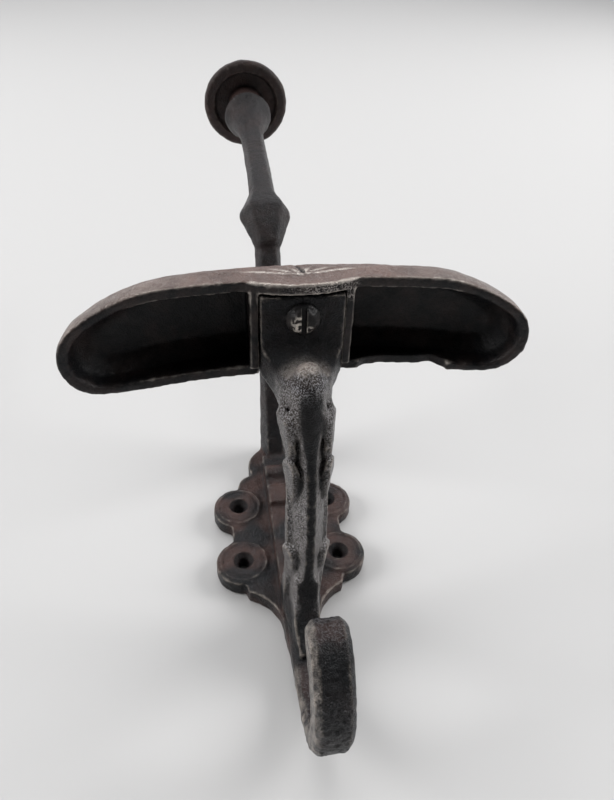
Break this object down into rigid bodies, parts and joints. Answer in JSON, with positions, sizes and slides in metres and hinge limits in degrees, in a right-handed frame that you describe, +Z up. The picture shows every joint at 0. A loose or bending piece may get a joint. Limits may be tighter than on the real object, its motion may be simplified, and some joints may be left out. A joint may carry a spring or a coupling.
{
  "type": "double coat hook",
  "caption": "Cast-iron wall hook with a hat disc on a long upper arm, a hollow shoulder rest on a leafed middle arm, and a curled coat hook below.",
  "frame": {"origin": "centre of the four screw holes, on the back face of the wall plate", "axes": "+Z up, +Y into the wall, +X to the right seen from the front; the arms stand out towards -Y"},
  "size_m": [0.1552, 0.1772, 0.3365],
  "materials": {
    "casting_iron": "semi-gloss black-brown sand-cast iron, worn lighter along edges",
    "rest_iron": "sand-cast iron, brown on top and near black inside the hollow",
    "screw_steel": "dark old steel, bright beside the slot"
  },
  "bodies": {
    "root": {"hook_casting": "casting_iron", "shoulder_rest": "rest_iron", "fixing_screw": "screw_steel"}
  },
  "joints": []
}
